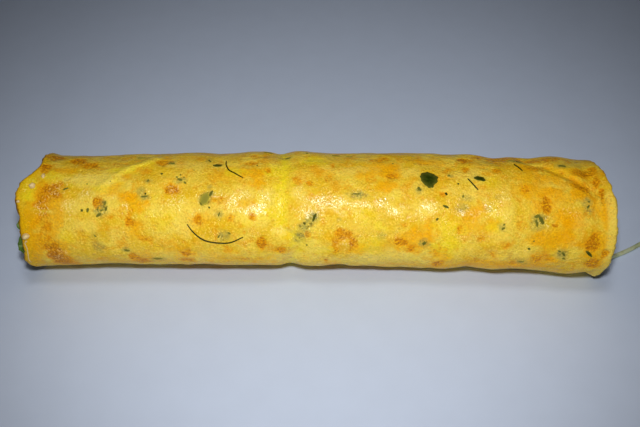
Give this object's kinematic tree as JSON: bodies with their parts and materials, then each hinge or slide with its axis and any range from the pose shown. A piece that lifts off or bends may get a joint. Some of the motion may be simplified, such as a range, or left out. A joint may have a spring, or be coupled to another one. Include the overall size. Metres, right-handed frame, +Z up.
{
  "type": "rolled omelette",
  "caption": "Thin baked egg sheet rolled lengthwise around grated cheese and salad, browned in patches, lying seam side down with a leaf and a stem showing at its ends.",
  "frame": {"origin": "on the surface the roll rests on, under the middle of the whole part, stem and leaf included", "axes": "+X along the roll from the leaf end to the stem end, -Y is the front that shows, +Z up"},
  "size_m": [0.3149, 0.0653, 0.0534],
  "materials": {
    "baked_egg": "soft baked egg, satin and slightly moist, lacy brown patches and green herb flecks",
    "grated_cheese": "pale grated cheese, soft and slightly oily",
    "green_leaf": "wilted dark green salad leaf, satin",
    "green_stem": "pale green salad stem, satin"
  },
  "bodies": {
    "root": {"egg_sheet": "baked_egg", "cheese_filling": "grated_cheese", "salad_leaf": "green_leaf", "salad_stem": "green_stem"}
  },
  "joints": []
}
